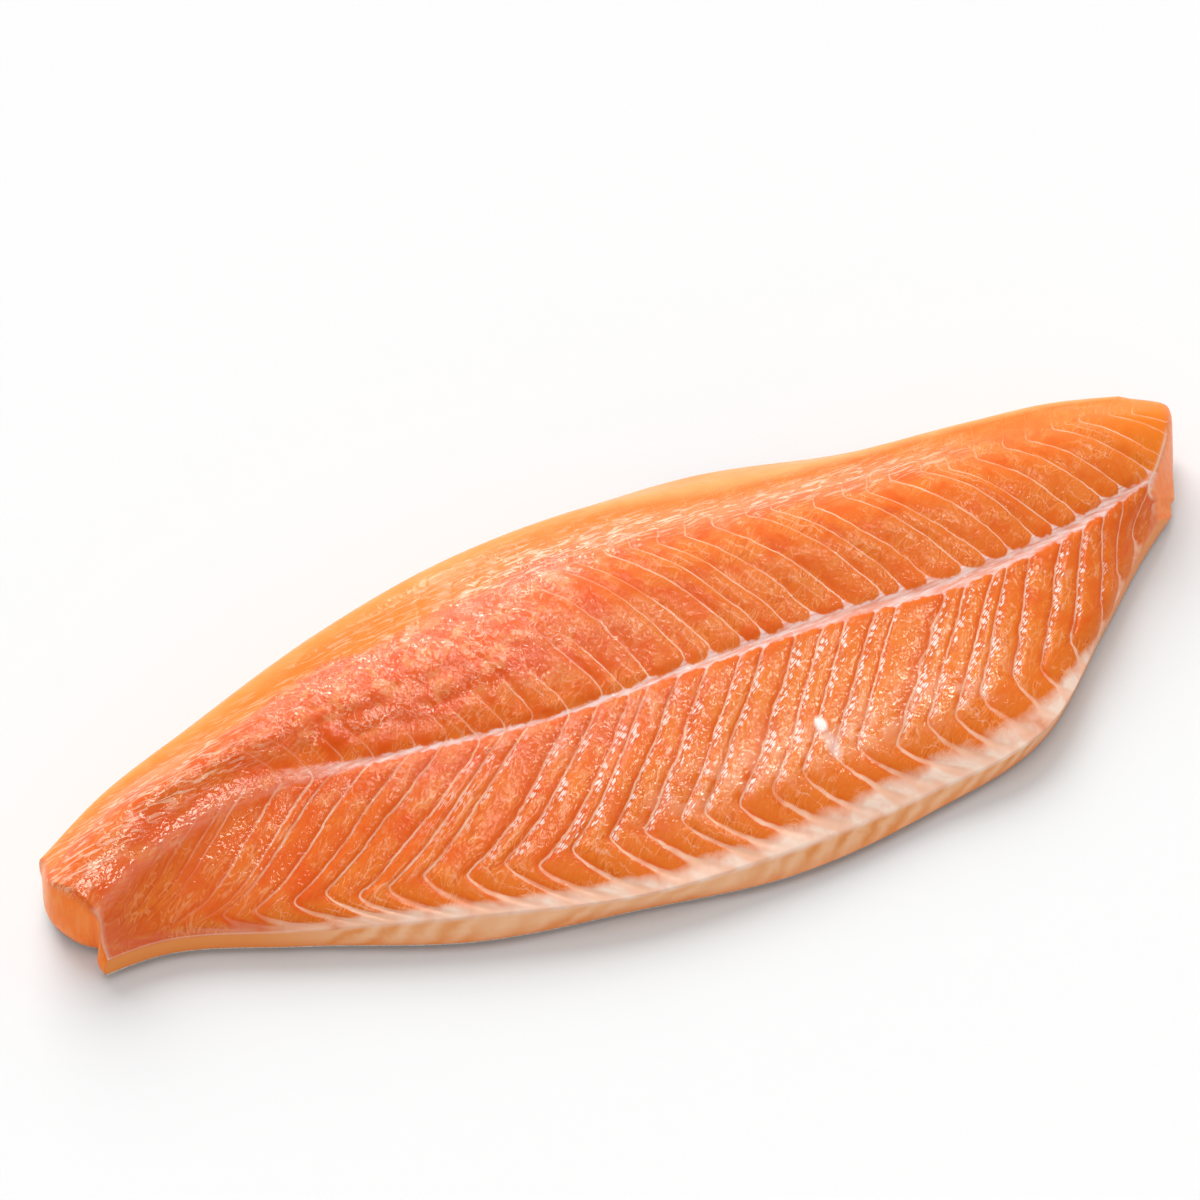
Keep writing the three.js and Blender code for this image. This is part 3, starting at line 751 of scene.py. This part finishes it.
strands = add(tree, "TexNoise", {"Vector": lengthwise, "Scale": per(0.8), "Detail": 2})
strand = add(tree, "MapRange", {0: strands, 1: 0.4, 2: 0.62, 3: 0.0, 4: 1.0})
tissue = add(
    tree, "Mix", {0: strand, 6: paint("#EEA592"), 7: paint("#F8DCD6")}, data_type="RGBA"
).outputs[2]
seam_clear = add(tree, "MapRange", {0: note["ridge"], 1: 0.0, 2: 0.8, 3: 0.85, 4: 0.12})
seam_share = add(tree, "Math", {0: seam, 1: seam_clear}, operation="MULTIPLY")
surface = add(tree, "Mix", {0: seam_share, 6: surface, 7: tissue}, data_type="RGBA").outputs[2]
surface = add(
    tree, "Mix", {0: note["fleck"], 6: surface, 7: paint("#FFF0E8")}, data_type="RGBA"
).outputs[2]
# The pale edge lines; at the head end a painted highlight.
rim_share = add(tree, "Math", {0: note["edge_line_and_highlight"], 1: 0.8}, operation="MULTIPLY")
surface = add(
    tree, "Mix", {0: rim_share, 6: surface, 7: paint("#FBD8BE")}, data_type="RGBA"
).outputs[2]

# The cut sides: cream fat with soft slanting streaks of meat at the belly, peach elsewhere.
belly_side_share = add(tree, "MapRange", {0: note["belly_wall"], 1: 0.0, 2: 0.15, 3: 0.0, 4: 1.0})
side_phase = add(tree, "Math", {0: torn, 1: 0.9, 2: muscle}, operation="MULTIPLY_ADD")
side_phase = add(tree, "Math", {0: side_phase, 1: 0.5}, operation="PINGPONG")
stripe = add(
    tree,
    "MapRange",
    {0: side_phase, 1: 0.0, 2: 0.5, 3: 0.1, 4: 0.9},
    interpolation_type="SMOOTHSTEP",
)
stripe_patch = add(tree, "TexNoise", {"Vector": here, "Scale": per(22), "Detail": 1})
stripe_patch = add(tree, "MapRange", {0: stripe_patch, 1: 0.42, 2: 0.6, 3: 0.3, 4: 1.0})
stripe = add(tree, "Math", {0: stripe, 1: stripe_patch}, operation="MULTIPLY")
lean = add(tree, "Math", {0: 1.0, 1: note["fatty"]}, operation="SUBTRACT")
stripe = add(tree, "Math", {0: stripe, 1: lean}, operation="MAXIMUM")
side_fat = add(
    tree, "Mix", {0: stripe, 6: paint("#F9C092"), 7: paint("#EC9046")}, data_type="RGBA"
).outputs[2]
# Darker orange towards the foot of the belly wall.
darker_towards_foot = add(tree, "MapRange", {0: note["belly_wall"], 1: 0.45, 2: 0.9, 3: 0.0, 4: 0.75})
side_fat = add(
    tree, "Mix", {0: darker_towards_foot, 6: side_fat, 7: paint("#EA7C2C")}, data_type="RGBA"
).outputs[2]
surface = add(
    tree, "Mix", {0: belly_side_share, 6: surface, 7: side_fat}, data_type="RGBA"
).outputs[2]
ends = add(tree, "Math", {0: note["head_wall"], 1: note["tail_wall"]}, operation="MAXIMUM")
ends = add(tree, "MapRange", {0: ends, 1: 0.0, 2: 0.2, 3: 0.0, 4: 1.0})
end_streaks = add(
    tree, "Mapping", {"Vector": here, "Scale": (0.002, 0.0016, 0.009)}, vector_type="TEXTURE"
)
end_streak = add(
    tree, "TexNoise", {"Vector": end_streaks, "Scale": 1.0, "Detail": 2, "Distortion": 0.4}
)
end_streak = add(tree, "MapRange", {0: end_streak, 1: 0.42, 2: 0.62, 3: 0.0, 4: 0.6})
end_meat = add(
    tree, "Mix", {0: end_streak, 6: paint("#FC7B16"), 7: paint("#FF9744")}, data_type="RGBA"
).outputs[2]
at_back = add(tree, "MapRange", {0: muscle.outputs[1], 1: 0.72, 2: 0.95, 3: 0.0, 4: 0.8})
at_back = add(tree, "Math", {0: at_back, 1: note["tail_wall"]}, operation="MULTIPLY")
end_meat = add(
    tree, "Mix", {0: at_back, 6: end_meat, 7: paint("#FCD4A8")}, data_type="RGBA"
).outputs[2]
surface = add(tree, "Mix", {0: ends, 6: surface, 7: end_meat}, data_type="RGBA").outputs[2]
back_side_share = add(tree, "MapRange", {0: note["back_wall"], 1: 0.0, 2: 0.2, 3: 0.0, 4: 1.0})
back_meat = add(
    tree, "Mix", {0: milk, 6: paint("#FA8A34"), 7: paint("#FB9A50")}, data_type="RGBA"
).outputs[2]
surface = add(
    tree, "Mix", {0: back_side_share, 6: surface, 7: back_meat}, data_type="RGBA"
).outputs[2]

# Relief too fine for the mesh, in millimetres: grains, streaks, folds and a rippled wet film. The
# film's gloss follows all of it, and the matte meat under it only the grains and streaks, softly.
BEAD, STREAK, FACET, COVER, FOLD, SEAM_TISSUE = 0.05, 0.12, 1.3, 0.06, 0.5, 0.08
height = add(tree, "Math", {0: bead, 1: BEAD}, operation="MULTIPLY")
height = add(tree, "Math", {0: streak, 1: STREAK, 2: height}, operation="MULTIPLY_ADD")
grain_height = height
tilt = add(
    tree, "VectorMath", {0: facets.outputs["Color"], 1: (0.5, 0.5, 0.5)}, operation="SUBTRACT"
).outputs[0]
from_middle = add(
    tree, "VectorMath", {0: facet_place, 1: facets.outputs["Position"]}, operation="SUBTRACT"
).outputs[0]
facet_height = add(
    tree, "VectorMath", {0: tilt, 1: from_middle}, operation="DOT_PRODUCT"
).outputs["Value"]
facet_height = add(tree, "Math", {0: facet_height, 1: note["film"]}, operation="MULTIPLY")
height = add(tree, "Math", {0: facet_height, 1: FACET, 2: height}, operation="MULTIPLY_ADD")
height = add(tree, "Math", {0: covered, 1: COVER, 2: height}, operation="MULTIPLY_ADD")
ripples = add(tree, "TexNoise", {"Vector": here, "Scale": per(1.8), "Detail": 0, "Distortion": 1.2})
ripple_height = add(tree, "Math", {0: ripples, 1: note["rippled"]}, operation="MULTIPLY")
crumpled = add(tree, "Math", {0: crumpled, 1: note["film"]}, operation="MULTIPLY")
ripple_height = add(
    tree, "Math", {0: crumpled, 1: -FOLD, 2: ripple_height}, operation="MULTIPLY_ADD"
)
height = add(tree, "Math", {0: height, 1: ripple_height}, operation="ADD")
height = add(tree, "Math", {0: seam, 1: SEAM_TISSUE, 2: height}, operation="MULTIPLY_ADD")
bump = add(tree, "Bump", {"Height": height, "Distance": 0.001, "Strength": 1.0})

tree.links.new(surface, shader.inputs["Base Color"])
tree.links.new(bump.outputs[0], shader.inputs["Coat Normal"])
soft_bump = add(tree, "Bump", {"Height": grain_height, "Distance": 0.001, "Strength": 0.3})
tree.links.new(soft_bump.outputs[0], shader.inputs["Normal"])
shader.inputs["Roughness"].default_value = 0.45
shader.inputs["Specular IOR Level"].default_value = 0.1
tree.links.new(note["wet"], shader.inputs["Coat Weight"])
shader.inputs["Coat Roughness"].default_value = 0.1
shader.inputs["Coat IOR"].default_value = 1.42
mesh.materials.clear()
mesh.materials.append(flesh_material)

# ------------------------------------------------------------------------------------------
# The skin. One thin sheet under the flesh, which shows as a dark line along the back. It grew with
# small scales in staggered rows: nearly black at the back, silvery on the flank and cream at the
# belly, with scattered pale spots.
SKIN_THICKNESS = 1.3
SKIN_INSET = 0.8
SKIN_LIP = 0.8
past_flesh = np.where(on_back, mix(SKIN_LIP, -SKIN_INSET, np.clip(rim_round, 0, 1)), -SKIN_INSET)


def skin_ring(share, height):
    return curl_ring(share, past_flesh * (1 - share)) + [0, 0, height]


bpy.ops.object.select_all(action="DESELECT")
bpy.ops.mesh.primitive_circle_add(vertices=len(rim_grid), radius=0.1, fill_type="NOTHING")
skin = bpy.context.object
skin.name = "fillet_skin"
sheet = skin.data
ring_number = sheet.attributes.new("rim", "INT", "POINT")
ring_number.data.foreach_set("value", np.arange(len(rim_grid), dtype=np.int32))
skin_steps = [0.8, 0.62, 0.46, 0.3, 0.16, 0.06]
skin_rings = [skin_ring(share, SKIN_THICKNESS) for share in [1, *skin_steps]]
skin_rings += [skin_ring(0, SKIN_THICKNESS * part) for part in (0.85, 0.5, 0.15)]
skin_rings += [skin_ring(share, 0) for share in [*skin_steps[::-1], 1]]
skin_points = [skin_rings[0]]
for step, ring in enumerate(skin_rings[1:]):
    numbers = extrude_ring(skin, step == 0)
    skin_points.append(ring[numbers])
bpy.ops.object.mode_set(mode="EDIT")
bpy.ops.mesh.edge_face_add()
bpy.ops.mesh.select_all(action="DESELECT")
bpy.ops.mesh.select_non_manifold()
bpy.ops.mesh.edge_face_add()
bpy.ops.mesh.quads_convert_to_tris()
bpy.ops.object.mode_set(mode="OBJECT")
sheet.vertices.foreach_set("co", ((np.concatenate(skin_points) + shift) / 1000).ravel())
sheet.update()
bpy.ops.object.mode_set(mode="EDIT")
bpy.ops.mesh.select_all(action="SELECT")
bpy.ops.mesh.normals_make_consistent(inside=False)
bpy.ops.object.mode_set(mode="OBJECT")
bpy.ops.object.shade_smooth_by_angle(angle=math.radians(40))
skin_x, skin_y, _ = np.concatenate(skin_points).T
belly_y, back_y = belly_foot(skin_x), back_edge(skin_x)
up_side = sheet.attributes.new("up_side", "FLOAT", "POINT")
up_side.data.foreach_set("value", ((skin_y - belly_y) / (back_y - belly_y)).astype(np.float32))
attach(skin, "root")
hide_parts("skin")

# Wet trout skin: each scale has a dark outline, and some shine.
skin_material = bpy.data.materials.new("wet_trout_skin")
skin_material.use_nodes = True
tree = skin_material.node_tree
skin_shader = tree.nodes["Principled BSDF"]
here = add(tree, "TexCoord").outputs["Object"]
up_share = add(tree, "Attribute", attribute_name="up_side").outputs["Fac"]
# A scale of the skin shows 2.5 mm of its length and 2.1 mm of its width.
lattice = add(tree, "Mapping", {"Vector": here, "Scale": (400, 480, 0)})
scales = add(
    tree,
    "TexVoronoi",
    {"Vector": lattice, "Scale": 1.0, "Randomness": 0.35},
    voronoi_dimensions="2D",
)
scale_edge = add(
    tree,
    "TexVoronoi",
    {"Vector": lattice, "Scale": 1.0, "Randomness": 0.35},
    voronoi_dimensions="2D",
    feature="DISTANCE_TO_EDGE",
)
net = add(tree, "MapRange", {0: scale_edge.outputs[0], 1: 0.02, 2: 0.12, 3: 1.0, 4: 0.0})
mottle = add(tree, "TexNoise", {"Vector": here, "Scale": per(7), "Detail": 3})
height_up = add(tree, "Math", {0: mottle, 1: 0.3, 2: up_share}, operation="MULTIPLY_ADD")
flank = add(
    tree,
    "MapRange",
    {0: height_up, 1: 0.3, 2: 0.5, 3: 0.0, 4: 1.0},
    interpolation_type="SMOOTHSTEP",
)
dark = add(
    tree,
    "MapRange",
    {0: height_up, 1: 0.68, 2: 0.95, 3: 0.0, 4: 1.0},
    interpolation_type="SMOOTHSTEP",
)
scale_kind = add(tree, "SeparateXYZ", {0: scales.outputs["Color"]})
colour = add(
    tree, "Mix", {0: flank, 6: paint("#E6D2C0"), 7: paint("#D2CECB")}, data_type="RGBA"
).outputs[2]
bright = add(tree, "MapRange", {0: scale_kind, 1: 0.55, 2: 1.0, 3: 0.0, 4: 0.5})
colour = add(tree, "Mix", {0: bright, 6: colour, 7: paint("#F4F0EE")}, data_type="RGBA").outputs[2]
back = add(
    tree, "Mix", {0: scale_kind, 6: paint("#2E2D2A"), 7: paint("#5C5A54")}, data_type="RGBA"
).outputs[2]
colour = add(tree, "Mix", {0: dark, 6: colour, 7: back}, data_type="RGBA").outputs[2]
dots = add(tree, "TexVoronoi", {"Vector": here, "Scale": per(9)})
dot = add(tree, "MapRange", {0: dots, 1: 0.2, 2: 0.3, 3: 0.75, 4: 0.0})
dotted = add(tree, "MapRange", {0: up_share, 1: 0.5, 2: 0.62, 3: 0.0, 4: 1.0})
dot = add(tree, "Math", {0: dot, 1: dotted}, operation="MULTIPLY")
colour = add(tree, "Mix", {0: dot, 6: colour, 7: paint("#B09C7C")}, data_type="RGBA").outputs[2]
net_share = add(tree, "MapRange", {0: height_up, 1: 0.3, 2: 0.9, 3: 0.3, 4: 0.8})
net_share = add(tree, "Math", {0: net, 1: net_share}, operation="MULTIPLY")
colour = add(
    tree, "Mix", {0: net_share, 6: colour, 7: paint("#3E3730")}, data_type="RGBA"
).outputs[2]
tree.links.new(colour, skin_shader.inputs["Base Color"])
skin_shader.inputs["Roughness"].default_value = 0.32
skin_shader.inputs["Coat Weight"].default_value = 0.6
skin_shader.inputs["Coat Roughness"].default_value = 0.15
scale_height = add(tree, "MapRange", {0: scale_edge.outputs[0], 1: 0.0, 2: 0.3, 3: 0.0, 4: 0.25})
scale_bump = add(tree, "Bump", {"Height": scale_height, "Distance": 0.001, "Strength": 1.0})
tree.links.new(scale_bump.outputs[0], skin_shader.inputs["Normal"])
sheet.materials.clear()
sheet.materials.append(skin_material)

# ------------------------------------------------------------------------------------------
# The stage: a white table under a pale sky, two wide suns that make the light and the shadow, small
# warm lamps that only show as glints on what is wet, and the camera.
bpy.ops.object.select_all(action="DESELECT")
bpy.ops.mesh.primitive_plane_add(size=6)
table = bpy.context.object
table.name = "table"
table_material = bpy.data.materials.new("white_table")
table_material.use_nodes = True
table_shader = table_material.node_tree.nodes["Principled BSDF"]
table_shader.inputs["Base Color"].default_value = (0.8, 0.8, 0.8, 1)
table_shader.inputs["Specular IOR Level"].default_value = 0
table.data.materials.append(table_material)


def aim(thing, target):
    way = np.array(target) - np.array(thing.location)
    flat = math.hypot(way[0], way[1])
    thing.rotation_euler = (math.atan2(flat, -way[2]), 0, math.atan2(way[1], way[0]) - math.pi / 2)


# The sky is bright at the horizon and dim overhead.
world = bpy.data.worlds.new("studio")
world.use_nodes = True
background = world.node_tree.nodes["Background"]
background.inputs["Color"].default_value = (1, 1, 1, 1)
sky = add(world.node_tree, "TexCoord").outputs["Generated"]
sky = add(world.node_tree, "SeparateXYZ", {0: sky}).outputs[2]
sky = add(world.node_tree, "MapRange", {0: sky, 1: 0.0, 2: 0.8, 3: 1.2, 4: 0.22})
world.node_tree.links.new(sky.outputs[0], background.inputs["Strength"])
bpy.context.scene.world = world
for name, energy, angle, spot in (
    ("softbox over it", 0.8, 0.8, (0.05, 0.1, 1.0)),
    ("softbox behind it", 2.95, 0.75, (0.15, 0.8, 0.6)),
):
    lamp_data = bpy.data.lights.new(name, "SUN")
    lamp_data.energy = energy
    lamp_data.angle = angle
    lamp = bpy.data.objects.new(name, lamp_data)
    lamp.visible_glossy = False
    lamp.location = spot
    bpy.context.scene.collection.objects.link(lamp)
    aim(lamp, (0, 0, 0))
GLINT_COLOUR = (1, 0.86, 0.76)
for name, energy, size, spot in (
    ("lamp over it", 2.2, 0.18, (0.02, 0.1, 1.1)),
    ("lamp over its middle", 1.5, 0.1, (0.32, 0.12, 1.05)),
    ("lamp over the head", 1.5, 0.1, (0.5, 0.1, 0.95)),
    ("lamp behind it", 3.6, 0.32, (0.1, 0.5, 0.95)),
    ("lamp behind the tail", 1.6, 0.18, (-0.05, 0.75, 0.82)),
    ("low lamp behind it", 3, 0.2, (0.2, 0.92, 0.48)),
):
    lamp_data = bpy.data.lights.new(name, "AREA")
    lamp_data.energy = energy
    lamp_data.size = size
    lamp_data.color = GLINT_COLOUR
    lamp = bpy.data.objects.new(name, lamp_data)
    lamp.visible_diffuse = False
    lamp.location = spot
    bpy.context.scene.collection.objects.link(lamp)
    aim(lamp, (0, 0, 0))

# The camera stands on the belly side, towards the tail, and looks down at 50 degrees.
camera_data = bpy.data.cameras.new("camera")
camera_data.lens = 85
camera_data.sensor_width = 36
camera_data.clip_end = 20
camera = bpy.data.objects.new("camera", camera_data)
camera.location = (-0.2331, -0.40188, 0.5975)
bpy.context.scene.collection.objects.link(camera)
aim(camera, (0.0007, 0.04162, 0.0))
bpy.context.scene.camera = camera
bpy.context.scene.view_settings.view_transform = "Standard"
